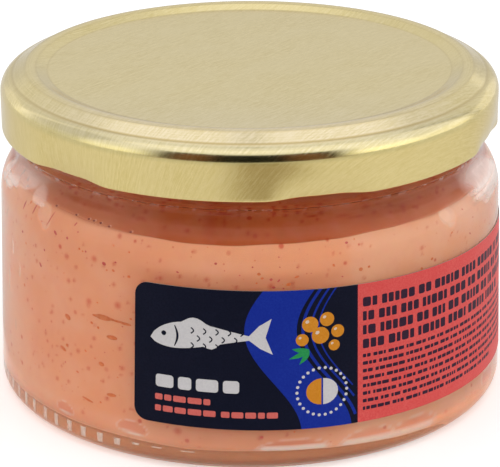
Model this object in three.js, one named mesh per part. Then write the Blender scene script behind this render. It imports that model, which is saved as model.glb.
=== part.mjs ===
// A squat glass jar of fish roe spread, shut with a twist-off lid and carrying a wrap-round label.
// Millimetres, +Z up, origin on the surface under the middle of the base, -Y towards the front.
// Azimuths are measured from the front (-Y) and grow towards the right (+X).
import * as THREE from 'three';

// Jar body
const BASE_RADIUS = 44.5;
const TOP_RADIUS = 43.55;
const HEEL_RADIUS = 2.65;
const SHOULDER_Z = 35.4;
const SHOULDER_ARC = 8.4;
const SHOULDER_SWEEP = 47;
const WALL = 2.3;

// Neck, with the collar that shows as a line under the lid
const COLLAR_RADIUS = 40.35;
const COLLAR_FOOT_Z = 42.7;
const COLLAR_TOP_Z = 44.4;
const COLLAR_EDGE = 0.2;
const NECK_RADIUS = 39.3;
const NECK_WALL = 2.0;
const LIP_TOP_Z = 55.35;
const LIP_ROUND = 0.7;

// Base, raised in the middle so that the jar stands on a ring
const RING_INNER_RADIUS = 39.4;
const PUSH_UP_RADIUS = 36.5;
const PUSH_UP = 1.3;
const PUSH_UP_RIM = 0.5;
const FLOOR_Z = 2.5;
const FLOOR_RISE = 1.1;
const FLOOR_ROUND = 3.4;

// Spread
const SPREAD_LEVEL_Z = 38.7;
const SPREAD_WAVE = 0.4;
const FILL_GAP = 0.3;

// Twist-off lid for an 82 mm mouth
const LID_RADIUS = 43.0;
const LID_SHEET = 0.5;
const SKIRT_FOOT_Z = 46.5;
const LID_SHOULDER_ROUND = 2.7;
const LEDGE_Z = 55.7;
const LEDGE_RADIUS = 40.95;
const CREST_Z = 57.05;
const CREST_OUTER_RADIUS = 38.6;
const CREST_INNER_RADIUS = 36.8;
const CREST_DROP = 0.1;
const CREST_EDGE = 0.6;
const PANEL_Z = 56.2;
const PANEL_RADIUS = 34.85;
const CURL_ROUND = 0.45;
const LUG_AZIMUTHS = [-104.4, -44.4, 15.6, 72.5, 135.6, 195.6];
const LUG_WIDTH = 25.5;
const LUG_EDGE = 9;
const LUG_DEPTH = 0.95;
const LUG_LIFT = 0.2;
const LUG_TOP_Z = 52.2;

// Label
const LABEL_FOOT_Z = 7.7;
const LABEL_TOP_Z = 31.9;
const LABEL_START = -25.2;
const LABEL_END = 174.8;
const LABEL_CORNER = 2.3;
const LABEL_SLOPE = -0.0193;
const LABEL_GAP = 0.1;
const LABEL_THICKNESS = 0.2;

// Facets round the jar
const JAR_STEPS = 60;
const LID_STEPS = 84;
const ARC_STEPS = 5;
const LUG_STEPS = 3;

const rad = THREE.MathUtils.degToRad;
const smooth = (value, low, high) => THREE.MathUtils.smoothstep(value, low, high);

// Points of an arc in a profile, from one angle to another in degrees, 0 pointing outwards
function arc(centre, radius, from, to, steps = ARC_STEPS) {
  const points = [];
  for (let i = 0; i <= steps; i++) {
    const angle = rad(from + (to - from) * i / steps);
    points.push([centre[0] + radius * Math.cos(angle), centre[1] + radius * Math.sin(angle)]);
  }
  return points;
}

// A place round the jar: azimuth in degrees, radius and height
function place(azimuth, radius, z) {
  return [radius * Math.sin(rad(azimuth)), -radius * Math.cos(rad(azimuth)), z];
}

function geometryFrom(vertices, triangles) {
  const geometry = new THREE.BufferGeometry();
  geometry.setAttribute('position', new THREE.Float32BufferAttribute(vertices.flat(), 3));
  geometry.setIndex(triangles.flat());
  geometry.computeVertexNormals();
  return geometry;
}

// A turned solid whose profile may change round the axis.
// The profile runs from the axis at the bottom, round the outside, and back to the axis.
function turned(profileAt, steps) {
  const vertices = [];
  const triangles = [];
  const first = profileAt(0);
  const rings = first.length - 2;
  vertices.push([0, 0, first[0][1]]);
  vertices.push([0, 0, first[rings + 1][1]]);
  for (let s = 0; s < steps; s++) {
    const azimuth = 360 * s / steps;
    for (const [radius, z] of profileAt(azimuth).slice(1, -1)) {
      vertices.push(place(azimuth, radius, z));
    }
  }
  const at = (s, ring) => 2 + (s % steps) * rings + ring;
  for (let s = 0; s < steps; s++) {
    triangles.push([0, at(s + 1, 0), at(s, 0)]);
    triangles.push([1, at(s, rings - 1), at(s + 1, rings - 1)]);
    for (let ring = 0; ring < rings - 1; ring++) {
      triangles.push([at(s, ring), at(s + 1, ring), at(s + 1, ring + 1)]);
      triangles.push([at(s, ring), at(s + 1, ring + 1), at(s, ring + 1)]);
    }
  }
  return geometryFrom(vertices, triangles);
}

// Outer radius of the jar's straight wall, which widens a little towards the base
function wallRadius(z) {
  const down = (SHOULDER_Z - z) / (SHOULDER_Z - HEEL_RADIUS);
  return TOP_RADIUS + (BASE_RADIUS - TOP_RADIUS) * down;
}

const shoulderCentre = [TOP_RADIUS - SHOULDER_ARC, SHOULDER_Z];
const floorCentre = [wallRadius(FLOOR_Z + FLOOR_ROUND) - WALL - FLOOR_ROUND, FLOOR_Z + FLOOR_ROUND];

// Height of a shallow dome at a share of its radius, from its rim and its rise above the rim
function dome(rim, rise, share) {
  return rim + rise * (1 - share * share);
}

// Inside of the jar up to the shoulder, drawn in by a gap, from the floor's middle outwards
function insideProfile(gap) {
  const neckInside = NECK_RADIUS - NECK_WALL - gap;
  return [
    [0, dome(FLOOR_Z, FLOOR_RISE, 0) + gap],
    [PUSH_UP_RADIUS / 2, dome(FLOOR_Z, FLOOR_RISE, 0.5) + gap],
    ...arc(floorCentre, FLOOR_ROUND - gap, -90, 0),
    ...arc(shoulderCentre, SHOULDER_ARC - WALL - gap, 0, SHOULDER_SWEEP),
    [neckInside, COLLAR_FOOT_Z],
  ];
}

function glassProfile() {
  const neckInside = NECK_RADIUS - NECK_WALL;
  const lipZ = LIP_TOP_Z - LIP_ROUND;
  const hollow = (share) => dome(PUSH_UP_RIM, PUSH_UP - PUSH_UP_RIM, share);
  return [
    [0, hollow(0)],
    [PUSH_UP_RADIUS / 2, hollow(0.5)],
    [PUSH_UP_RADIUS, hollow(1)],
    [RING_INNER_RADIUS, 0],
    ...arc([BASE_RADIUS - HEEL_RADIUS, HEEL_RADIUS], HEEL_RADIUS, -90, 0),
    ...arc(shoulderCentre, SHOULDER_ARC, 0, SHOULDER_SWEEP),
    [COLLAR_RADIUS, COLLAR_FOOT_Z],
    [COLLAR_RADIUS, COLLAR_TOP_Z - COLLAR_EDGE],
    [COLLAR_RADIUS - COLLAR_EDGE, COLLAR_TOP_Z],
    [NECK_RADIUS, COLLAR_TOP_Z + COLLAR_EDGE],
    ...arc([NECK_RADIUS - LIP_ROUND, lipZ], LIP_ROUND, 0, 90, 3),
    ...arc([neckInside + LIP_ROUND, lipZ], LIP_ROUND, 90, 180, 3),
    ...insideProfile(0).reverse(),
  ];
}

// Radius of the jar's inside at a height between the shoulder's foot and the neck
function insideRadius(z, gap) {
  const radius = SHOULDER_ARC - WALL - gap;
  const rise = z - SHOULDER_Z;
  return shoulderCentre[0] + Math.sqrt(radius * radius - rise * rise);
}

// Height of the spread's top at a share of its radius: rippled at the edge, higher in the middle
function spreadTop(azimuth, share) {
  const ripple = 0.7 * Math.sin(rad(2 * azimuth - 100)) + 0.3 * Math.sin(rad(5 * azimuth - 25));
  return SPREAD_LEVEL_Z + SPREAD_WAVE * (share * share * ripple + 1 - share);
}

function spreadProfile(azimuth) {
  const inside = insideProfile(FILL_GAP);
  const edgeZ = spreadTop(azimuth, 1);
  const sweep = THREE.MathUtils.radToDeg(
    Math.asin((edgeZ - SHOULDER_Z) / (SHOULDER_ARC - WALL - FILL_GAP)));
  const floorAndWall = inside.slice(0, 2 + ARC_STEPS + 1);
  const edge = insideRadius(edgeZ, FILL_GAP);
  return [
    ...floorAndWall,
    ...arc(shoulderCentre, SHOULDER_ARC - WALL - FILL_GAP, 0, sweep, 4),
    ...[0.85, 0.5, 0].map((share) => [edge * share, spreadTop(azimuth, share)]),
  ];
}

// How far into a lug an azimuth lies: 0 between lugs, 1 on the lug's flat
function lugShare(azimuth) {
  const around = (lug) => THREE.MathUtils.euclideanModulo(azimuth - lug + 180, 360) - 180;
  const off = Math.min(...LUG_AZIMUTHS.map((lug) => Math.abs(around(lug))));
  return 1 - smooth(off, LUG_WIDTH / 2 - LUG_EDGE, LUG_WIDTH / 2);
}

// A point of the skirt, pressed in where there is a lug, most of all at the foot
function skirtPoint(radius, z, share) {
  const down = THREE.MathUtils.clamp((LUG_TOP_Z - z) / (LUG_TOP_Z - SKIRT_FOOT_Z), 0, 1);
  const pressed = share * down * down;
  return [radius - LUG_DEPTH * pressed, z + LUG_LIFT * pressed];
}

// Heights down the skirt, from the top of the lugs to the curl
function skirtRows() {
  const rows = [];
  for (let i = 0; i <= LUG_STEPS; i++) {
    rows.push(THREE.MathUtils.lerp(LUG_TOP_Z, SKIRT_FOOT_Z + 2 * CURL_ROUND, i / LUG_STEPS));
  }
  return rows;
}

function lidProfile(azimuth) {
  const share = lugShare(azimuth);
  const roundCentre = [LID_RADIUS - LID_SHOULDER_ROUND, LEDGE_Z - LID_SHOULDER_ROUND];
  const curlCentre = [LID_RADIUS - CURL_ROUND, SKIRT_FOOT_Z + CURL_ROUND];
  const under = PANEL_Z - LID_SHEET;
  const crease = Math.acos((LEDGE_RADIUS - roundCentre[0]) / LID_SHOULDER_ROUND);
  const creaseAngle = THREE.MathUtils.radToDeg(crease);
  const skirt = (radius, z) => skirtPoint(radius, z, share);
  const insideRows = skirtRows().slice(0, -1);
  const outsideRows = skirtRows().reverse();
  return [
    [0, under],
    [roundCentre[0] - LID_SHEET, under],
    ...arc(roundCentre, LID_SHOULDER_ROUND - LID_SHEET, 90, 0, 2),
    ...insideRows.map((z) => skirt(LID_RADIUS - LID_SHEET, z)),
    skirt(LID_RADIUS - 2 * CURL_ROUND, SKIRT_FOOT_Z + 2 * CURL_ROUND),
    ...arc(curlCentre, CURL_ROUND, 180, 360, 4).map(([radius, z]) => skirt(radius, z)),
    ...outsideRows.map((z) => skirt(LID_RADIUS, z)),
    ...arc(roundCentre, LID_SHOULDER_ROUND, 0, creaseAngle, 4),
    [CREST_OUTER_RADIUS, CREST_Z - CREST_DROP],
    [CREST_OUTER_RADIUS - CREST_EDGE, CREST_Z],
    [CREST_INNER_RADIUS + CREST_EDGE, CREST_Z],
    [CREST_INNER_RADIUS, CREST_Z - CREST_DROP],
    [PANEL_RADIUS, PANEL_Z],
    [0, PANEL_Z],
  ];
}

// How far a label corner draws in its top and foot at a distance from the label's end
function cornerInset(distance) {
  if (distance >= LABEL_CORNER) {
    return 0;
  }
  const across = LABEL_CORNER - distance;
  return LABEL_CORNER - Math.sqrt(LABEL_CORNER * LABEL_CORNER - across * across);
}

// The label's columns lie on the corners of the jar's facets, with more in its rounded corners
function labelColumns() {
  const step = 360 / JAR_STEPS;
  const cornerAngle = THREE.MathUtils.radToDeg(LABEL_CORNER / TOP_RADIUS);
  const columns = [];
  for (let i = 0; i <= ARC_STEPS; i++) {
    const share = 1 - Math.cos(rad(90 * i / ARC_STEPS));
    columns.push(LABEL_START + cornerAngle * share, LABEL_END - cornerAngle * share);
  }
  for (let azimuth = -180; azimuth <= 180; azimuth += step) {
    if (azimuth > LABEL_START + cornerAngle && azimuth < LABEL_END - cornerAngle) {
      columns.push(azimuth);
    }
  }
  return columns.sort((a, b) => a - b);
}

function labelGeometry() {
  const vertices = [];
  const triangles = [];
  const columns = labelColumns();
  for (const azimuth of columns) {
    const fromEnd = Math.min(azimuth - LABEL_START, LABEL_END - azimuth);
    const inset = cornerInset(rad(fromEnd) * TOP_RADIUS);
    const shift = LABEL_SLOPE * TOP_RADIUS * rad(azimuth);
    const foot = LABEL_FOOT_Z + inset + shift;
    const top = LABEL_TOP_Z - inset + shift;
    for (const [z, out] of [[foot, 0], [top, 0], [top, LABEL_THICKNESS], [foot, LABEL_THICKNESS]]) {
      vertices.push(place(azimuth, wallRadius(z) + LABEL_GAP + out, z));
    }
  }
  for (let c = 0; c < columns.length - 1; c++) {
    for (let side = 0; side < 4; side++) {
      const next = (side + 1) % 4;
      const [a, b] = [4 * c + side, 4 * c + next];
      triangles.push([a, b, b + 4], [a, b + 4, a + 4]);
    }
  }
  const last = 4 * (columns.length - 1);
  triangles.push([0, 2, 1], [0, 3, 2]);
  triangles.push([last, last + 1, last + 2], [last, last + 2, last + 3]);
  return geometryFrom(vertices, triangles);
}

function part(name, geometry, material) {
  const mesh = new THREE.Mesh(geometry, new THREE.MeshStandardMaterial(material));
  mesh.name = name;
  return mesh;
}

const group = new THREE.Group();
group.add(part('jar_glass', turned(glassProfile, JAR_STEPS), {
  color: 0xe8efe9, roughness: 0.05, metalness: 0, transparent: true, opacity: 0.35,
}));
group.add(part('roe_spread', turned(spreadProfile, JAR_STEPS), {
  color: 0xdc9770, roughness: 0.45, metalness: 0,
}));
group.add(part('twist_lid', turned(lidProfile, LID_STEPS), {
  color: 0xcdbb7c, roughness: 0.3, metalness: 1,
}));
group.add(part('wrap_label', labelGeometry(), {
  color: 0x12162e, roughness: 0.5, metalness: 0,
}));

export default group;
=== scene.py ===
"""Looks of a squat glass jar of fish roe spread with a gold twist-off lid and a wrap-round label.

Sizes are in millimetres and angles in degrees until a mesh is made, which is in metres.
Azimuths are measured from the front (-Y) and grow towards the right (+X).
"""
import math
import random

import bpy
import numpy as np
from mathutils import Matrix, Vector
from mathutils.geometry import delaunay_2d_cdt


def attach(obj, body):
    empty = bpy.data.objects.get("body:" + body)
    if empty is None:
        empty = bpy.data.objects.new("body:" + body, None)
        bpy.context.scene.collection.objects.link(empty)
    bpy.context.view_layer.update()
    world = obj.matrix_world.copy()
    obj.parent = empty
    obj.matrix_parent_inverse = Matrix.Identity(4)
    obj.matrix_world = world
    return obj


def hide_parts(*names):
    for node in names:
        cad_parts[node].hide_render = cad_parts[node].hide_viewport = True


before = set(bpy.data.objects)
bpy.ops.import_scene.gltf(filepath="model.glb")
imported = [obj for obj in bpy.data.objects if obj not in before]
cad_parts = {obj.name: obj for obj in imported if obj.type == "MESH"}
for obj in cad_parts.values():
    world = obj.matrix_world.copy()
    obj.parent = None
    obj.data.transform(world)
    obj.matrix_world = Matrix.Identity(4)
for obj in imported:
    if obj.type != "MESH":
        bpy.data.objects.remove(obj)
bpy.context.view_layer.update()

MM = 0.001

# Jar
BASE_RADIUS = 44.5
TOP_RADIUS = 43.55
HEEL_RADIUS = 2.65
SHOULDER_Z = 35.4
SHOULDER_ARC = 8.4
SHOULDER_SWEEP = 47.0
WALL = 2.3
COLLAR_RADIUS = 40.35
COLLAR_FOOT_Z = 42.7
COLLAR_TOP_Z = 44.4
NECK_RADIUS = 39.3
NECK_WALL = 2.0
LIP_TOP_Z = 55.35
LIP_ROUND = 0.7
RING_INNER_RADIUS = 39.4
RING_OUTER_RADIUS = 41.2
PUSH_UP_RADIUS = 36.5
PUSH_UP = 1.3
PUSH_UP_RIM = 0.5
FLOOR_Z = 2.5
FLOOR_RISE = 1.1
FLOOR_ROUND = 3.4
KNURLS = 76
KNURL_DEPTH = 0.16

# Spread
FILL_LEVEL = 38.7
FILL_WAVE = 0.4
REACH = 0.12
FILM_TOP_Z = 45.4
FILM_THICKNESS = 0.7
SOFT_GRAINS = 330
FILM_SPOTS = 150

# Lid
LID_RADIUS = 43.0
LID_SHEET = 0.5
SKIRT_FOOT_Z = 46.5
SKIRT_NARROWS_Z = 48.3
LID_SHOULDER_ROUND = 2.7
LEDGE_Z = 55.7
LEDGE_RADIUS = 40.95
CREST_Z = 57.05
CREST_OUTER_RADIUS = 38.6
CREST_INNER_RADIUS = 36.8
CREST_DROP = 0.1
CREST_EDGE = 0.6
PANEL_Z = 56.2
PANEL_RADIUS = 34.85
CURL_ROUND = 0.45
LUG_AZIMUTHS = (-104.4, -44.4, 15.6, 72.5, 135.6, 195.6)
LUG_WIDTH = 25.5
LUG_EDGE = 9.0
LUG_DEPTH = 0.95
LUG_LIFT = 0.2
LUG_TOP_Z = 52.2
GRAIN_TURN = 50.0

# Label
LABEL_FOOT_Z = 7.7
LABEL_HEIGHT = 24.2
LABEL_START = -25.2
LABEL_END = 174.8
LABEL_CORNER = 2.3
LABEL_SLOPE = -0.0193
LABEL_LEAN = 0.35
LABEL_GAP = 0.02
LABEL_THICKNESS = 0.12
SPLIT = 17.7
PANEL_END = 66.0

# Camera, with its angles in radians
CAMERA_BACK = 393.6
CAMERA_HEIGHT = 176.1
CAMERA_PITCH = 0.3667
CAMERA_ROLL = -0.0030
FOCAL_LENGTH = 171.0
SENSOR_WIDTH = 36.0

chance = random.Random(20)


# Shapes

def arc(centre, radius, start, end, steps):
    """Points of an arc in a profile; angle 0 points outwards."""
    angles = [math.radians(start + (end - start) * i / steps) for i in range(steps + 1)]
    return [(centre[0] + radius * math.cos(a), centre[1] + radius * math.sin(a)) for a in angles]


def fillet(points, radius, steps=4):
    """The profile with its inner corners rounded."""
    rounded = [points[0]]
    for before, corner, after in zip(points, points[1:], points[2:]):
        corner = Vector(corner)
        back, on = Vector(before) - corner, Vector(after) - corner
        reach = min(radius, back.length / 2, on.length / 2)
        start, end = corner + back.normalized() * reach, corner + on.normalized() * reach
        for i in range(steps + 1):
            t = i / steps
            rounded.append(tuple(start * (1 - t) ** 2 + corner * 2 * t * (1 - t) + end * t ** 2))
    rounded.append(points[-1])
    return rounded


def dense(points, spacing):
    """The profile with its long straight stretches divided."""
    made = [points[0]]
    for a, b in zip(points, points[1:]):
        steps = max(1, math.ceil(math.dist(a, b) / spacing))
        for i in range(1, steps + 1):
            made.append((a[0] + (b[0] - a[0]) * i / steps, a[1] + (b[1] - a[1]) * i / steps))
    return made


def place(azimuth, radius, z):
    """Places round the jar, for arrays or single numbers."""
    a = np.radians(azimuth)
    return np.stack(np.broadcast_arrays(radius * np.sin(a), -radius * np.cos(a), z), -1)


def smooth(value, low, high):
    """0 below low, 1 above high, and an easy curve between; high may be the lower one."""
    t = np.clip((value - low) / (high - low), 0, 1)
    return t * t * (3 - 2 * t)


def window(value, start, full, ebb, end):
    """1 from full to ebb, 0 outside start and end, and easy curves between."""
    return smooth(value, start, full) * smooth(value, end, ebb)


def wrapped(azimuth):
    """The same azimuth, between -180 and 180."""
    return (azimuth + 180) % 360 - 180


def rotated(x, y, degrees):
    """A place, or two directions, turned from x towards y."""
    c, s = math.cos(math.radians(degrees)), math.sin(math.radians(degrees))
    return x * c - y * s, x * s + y * c


def grid(columns, rows, start=0, closed=False):
    """Quads between columns of vertices; a closed grid joins its last column to the first."""
    faces = []
    for i in range(columns if closed else columns - 1):
        for j in range(rows - 1):
            a, b = start + i * rows + j, start + (i + 1) % columns * rows + j
            faces.append((a, b, b + 1, a + 1))
    return faces


def compact(faces):
    """The vertices that the faces use, and the faces renumbered to them."""
    used = sorted({i for face in faces for i in face})
    number = {old: new for new, old in enumerate(used)}
    return used, [tuple(number[i] for i in face) for face in faces]


def add_object(name, data):
    """An object of the scene that shows the data."""
    made = bpy.data.objects.new(name, data)
    bpy.context.scene.collection.objects.link(made)
    return made


def piece(name, vertices, faces, materials, slot, face_material=None, uv=None, marks=None):
    """A mesh object of the part, from millimetres; marks are values at its vertices."""
    mesh = bpy.data.meshes.new(name)
    mesh.from_pydata((np.asarray(vertices) * MM).tolist(), [], faces)
    for material in materials:
        mesh.materials.append(material)
    if face_material is not None:
        mesh.polygons.foreach_set("material_index", face_material)
    if uv is not None:
        layer = mesh.uv_layers.new(name="UVMap")
        corners = np.zeros(len(mesh.loops), np.int64)
        mesh.loops.foreach_get("vertex_index", corners)
        layer.data.foreach_set("uv", np.asarray(uv, np.float32)[corners].ravel())
    for mark, values in (marks or {}).items():
        attribute = mesh.attributes.new(mark, "FLOAT", "POINT")
        attribute.data.foreach_set("value", np.asarray(values, np.float32))
    mesh.polygons.foreach_set("use_smooth", [True] * len(mesh.polygons))
    mesh.update()
    made = add_object(name, mesh)
    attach(made, "root")
    return made


def on_skin(values):
    """Columns of rows of values, in the order of the vertices of a turned skin."""
    return np.concatenate([values[:, 1:-1].ravel(), [values[0, 0], values[0, -1]]])


def turned(azimuths, radii, heights):
    """Vertices and faces of a closed turned skin. radii and heights are columns of rows.

    Each column runs from the axis at the bottom, round the outside, back to the axis.
    """
    inner = place(azimuths[:, None], radii, heights)[:, 1:-1]
    ends = [(0, 0, heights[0, 0]), (0, 0, heights[0, -1])]
    at = np.arange(inner.shape[0] * inner.shape[1]).reshape(inner.shape[:2])
    on = np.roll(at, -1, 0)
    faces = np.stack([at[:, :-1], on[:, :-1], on[:, 1:], at[:, 1:]], -1).reshape(-1, 4).tolist()
    faces += [(at.size, int(b), int(a)) for a, b in zip(at[:, 0], on[:, 0])]
    faces += [(at.size + 1, int(a), int(b)) for a, b in zip(at[:, -1], on[:, -1])]
    return np.vstack([inner.reshape(-1, 3), ends]), faces


def wall_radius(z):
    """Outer radius of the jar's straight wall."""
    return TOP_RADIUS + (BASE_RADIUS - TOP_RADIUS) * (SHOULDER_Z - z) / (SHOULDER_Z - HEEL_RADIUS)


SHOULDER_CENTRE = (TOP_RADIUS - SHOULDER_ARC, SHOULDER_Z)
WALL_FOOT_Z = FLOOR_Z + FLOOR_ROUND
FLOOR_CENTRE = (wall_radius(WALL_FOOT_Z) - WALL - FLOOR_ROUND, WALL_FOOT_Z)


def dome(rim, rise, share):
    """Height of a shallow dome at a share of its radius."""
    return rim + rise * (1 - share * share)


def floor_profile(steps, reach=0.0):
    """The jar's floor from its middle to the round at its edge."""
    edge = FLOOR_CENTRE[0]
    shares = [i / steps for i in range(steps)]
    return [(edge * s, dome(FLOOR_Z, FLOOR_RISE, s) - reach) for s in shares]


# Materials

WHITE = (1.0, 1.0, 1.0)
FLINT = (0.985, 0.995, 0.988)
ROE = (0.80, 0.27, 0.235)


class Shader:
    """Builds the nodes of a material or a world; a value is a number, a colour or an output."""

    def __init__(self, name, kind="Material"):
        made_in = bpy.data.worlds if kind == "World" else bpy.data.materials
        self.made = made_in.new(name)
        self.made.use_nodes = True
        self.tree = self.made.node_tree
        self.tree.nodes.clear()
        self.output = self.tree.nodes.new("ShaderNodeOutput" + kind)

    def add(self, kind, settings=None, inputs=None, output=0):
        node = self.tree.nodes.new("ShaderNode" + kind)
        for key, value in (settings or {}).items():
            setattr(node, key, value)
        for key, value in (inputs or {}).items():
            self.put(node.inputs[key], value)
        return node.outputs[output]

    def put(self, socket, value):
        if isinstance(value, bpy.types.NodeSocket):
            self.tree.links.new(value, socket)
        elif socket.type == "RGBA":
            socket.default_value = tuple(value)[:3] + (1.0,)
        else:
            socket.default_value = value

    def where(self):
        return self.add("TexCoord", output="Object")

    def axis(self, vector, number):
        return self.add("SeparateXYZ", inputs={0: vector}, output=number)

    def length(self, vector):
        return self.add("VectorMath", {"operation": "LENGTH"}, {0: vector}, "Value")

    def mark(self, name):
        """The value that the mesh's vertices carry under that name."""
        return self.add("Attribute", {"attribute_name": name}, output="Fac")

    def scaled(self, vector, scale):
        return self.add("Mapping", inputs={"Vector": vector, "Scale": scale})

    def noise(self, vector, scale, detail=3.0, roughness=0.5):
        inputs = {"Vector": vector, "Scale": scale, "Detail": detail, "Roughness": roughness}
        return self.add("TexNoise", inputs=inputs)

    def span(self, value, low, high, new_low=0.0, new_high=1.0, kind="SMOOTHSTEP"):
        inputs = {"Value": value, "From Min": low, "From Max": high,
                  "To Min": new_low, "To Max": new_high}
        return self.add("MapRange", {"interpolation_type": kind}, inputs)

    def window(self, value, start, full, ebb, end):
        """1 from full to ebb, 0 outside start and end, and easy curves between."""
        return self.times(self.span(value, start, full), self.span(value, end, ebb))

    def calc(self, kind, a, b=0.0):
        return self.add("Math", {"operation": kind}, {0: a, 1: b})

    def times(self, value, *others):
        for other in others:
            value = self.calc("MULTIPLY", value, other)
        return value

    def mix(self, share, a, b, blend="MIX"):
        node = self.add("Mix", {"data_type": "RGBA", "blend_type": blend}).node
        for number, value in ((0, share), (6, a), (7, b)):
            self.put(node.inputs[number], value)
        return node.outputs[2]

    def bump(self, height, strength, distance):
        inputs = {"Height": height, "Strength": strength, "Distance": distance * MM}
        return self.add("Bump", inputs=inputs)

    def show(self, shader):
        self.tree.links.new(shader, self.output.inputs["Surface"])

    def blend(self, share, a, b):
        """Shows shader a, and b where the share is 1."""
        self.show(self.add("MixShader", inputs={0: share, 1: a, 2: b}))

    def surface(self, **inputs):
        named = {key.replace("_", " "): value for key, value in inputs.items()}
        made = self.add("BsdfPrincipled", inputs=named)
        self.show(made)
        return made


def colour(red, green, blue):
    """Linear colour of an 8-bit one."""
    def linear(value):
        value /= 255
        return value / 12.92 if value <= 0.04045 else ((value + 0.055) / 1.055) ** 2.4
    return linear(red), linear(green), linear(blue)


def glass_material():
    """Clear flint glass, slightly rippled. Lamps light the spread straight through it."""
    m = Shader("clear_glass")
    ripple = m.noise(m.scaled(m.where(), (1, 1, 0.45)), 120, 1.0)
    fine = m.noise(m.where(), 900, 2.0)
    bump = m.bump(m.calc("ADD", ripple, m.times(fine, 0.05)), 0.35, 0.12)
    smears = m.span(m.noise(m.where(), 60), 0.5, 0.75, 0.004, 0.03)
    body = m.surface(Base_Color=FLINT, Roughness=smears, IOR=1.5, Transmission_Weight=1.0,
                     Specular_Tint=(0.25, 0.25, 0.25), Normal=bump)
    clear = m.add("BsdfTransparent", inputs={"Color": FLINT})
    m.blend(m.add("LightPath", output="Is Shadow Ray"), body, clear)
    return m.made


def film_material(name, patches, least, most, fine, shades, share="share", lit=None):
    """A thin film in the glass that paints light seen in it, and covers part of what is behind it in soft
    patches.

    patches and fine are the scales of its patches and of its two shades. share names the mark of
    the mesh that it follows. lit holds the values of a film that reflects and glows of its own: painted
    reflections.
    """
    m = Shader(name)
    cover = m.span(m.noise(m.where(), *patches), 0.3, 0.7, least, most)
    if share:
        cover = m.times(m.mark(share), cover)
    tone = m.mix(m.noise(m.where(), fine, 2.0), *shades)
    if lit:
        film = m.add("BsdfPrincipled", inputs={"Base Color": tone, **lit})
    else:
        film = m.add("BsdfDiffuse", inputs={"Color": tone})
    m.blend(cover, m.add("BsdfTransparent", inputs={"Color": WHITE}), film)
    return m.made


def spread_material():
    """Creamy spread with roe grains under its surface, paler and deeper in soft patches.

    The mesh says where it is stained by a grain or darkened by painted shade in a low air pocket,
    where it is paler with painted highlights, reflections and light, and where it takes the film's
    painted shade, on the glass above the level and on its top.
    """
    m = Shader("roe_cream")
    where = m.where()
    patches = m.span(m.noise(where, 90), 0.35, 0.65)
    base = m.mix(patches, (0.965, 0.49, 0.295), (0.95, 0.43, 0.235))
    # Deep painted shade for the film on the glass above the level and for the top, under the lid
    film = m.mix(patches, (0.585, 0.135, 0.037), (0.51, 0.11, 0.028))
    base = m.mix(m.mark("film"), base, film)
    mottle = m.span(m.noise(where, 420, 3.0, 0.6), 0.4, 0.75, 0.0, 0.12)
    base = m.mix(mottle, base, ROE)
    for scale, size, present, share in ((400, 0.27, 0.5, 0.75), (1000, 0.24, 0.62, 0.6)):
        cells = m.add("TexVoronoi", inputs={"Vector": where, "Scale": scale}).node.outputs
        own, other = (m.add("SeparateColor", inputs={0: cells["Color"]}, output=i) for i in (0, 1))
        edge = m.span(other, 0.0, 1.0, size * 0.35, size, "LINEAR")
        spot = m.span(m.calc("DIVIDE", cells["Distance"], edge), 1.0, 0.35)
        shown = m.span(own, present, present + 0.3, 0.0, share)
        base = m.mix(m.times(spot, shown), base, ROE, "MULTIPLY")
    # Grains stain the spread, and painted shade darkens the low air pockets
    base = m.mix(m.mark("grain"), base, ROE, "MULTIPLY")
    # Painted highlights, reflections and light make it paler
    base = m.mix(m.mark("pale"), base, (0.95, 0.84, 0.76))
    bump = m.bump(m.noise(where, 1600, 2.0, 0.6), 0.12, 0.15)
    rough = m.span(m.noise(where, 300, 2.0), 0.3, 0.7, 0.28, 0.5)
    m.surface(Base_Color=base, Roughness=rough, Normal=bump, Specular_IOR_Level=0.12,
              Subsurface_Weight=0.6, Subsurface_Scale=0.0016, Subsurface_Radius=(1.0, 0.45, 0.25))
    return m.made


# Also gives the bubbles their painted shade
def drop_material(name, shade, dark):
    """An oil drop or a grain of roe: deeper in soft patches, with a little shine."""
    m = Shader(name)
    base = m.mix(m.span(m.noise(m.where(), 1500, 2.0), 0.35, 0.65), shade, dark)
    bump = m.bump(m.noise(m.where(), 3000, 1.0), 0.2, 0.05)
    m.surface(Base_Color=base, Roughness=0.35, Normal=bump, Specular_IOR_Level=0.15,
              Subsurface_Weight=0.4, Subsurface_Scale=0.0008, Subsurface_Radius=(1.0, 0.4, 0.2))
    return m.made


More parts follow.
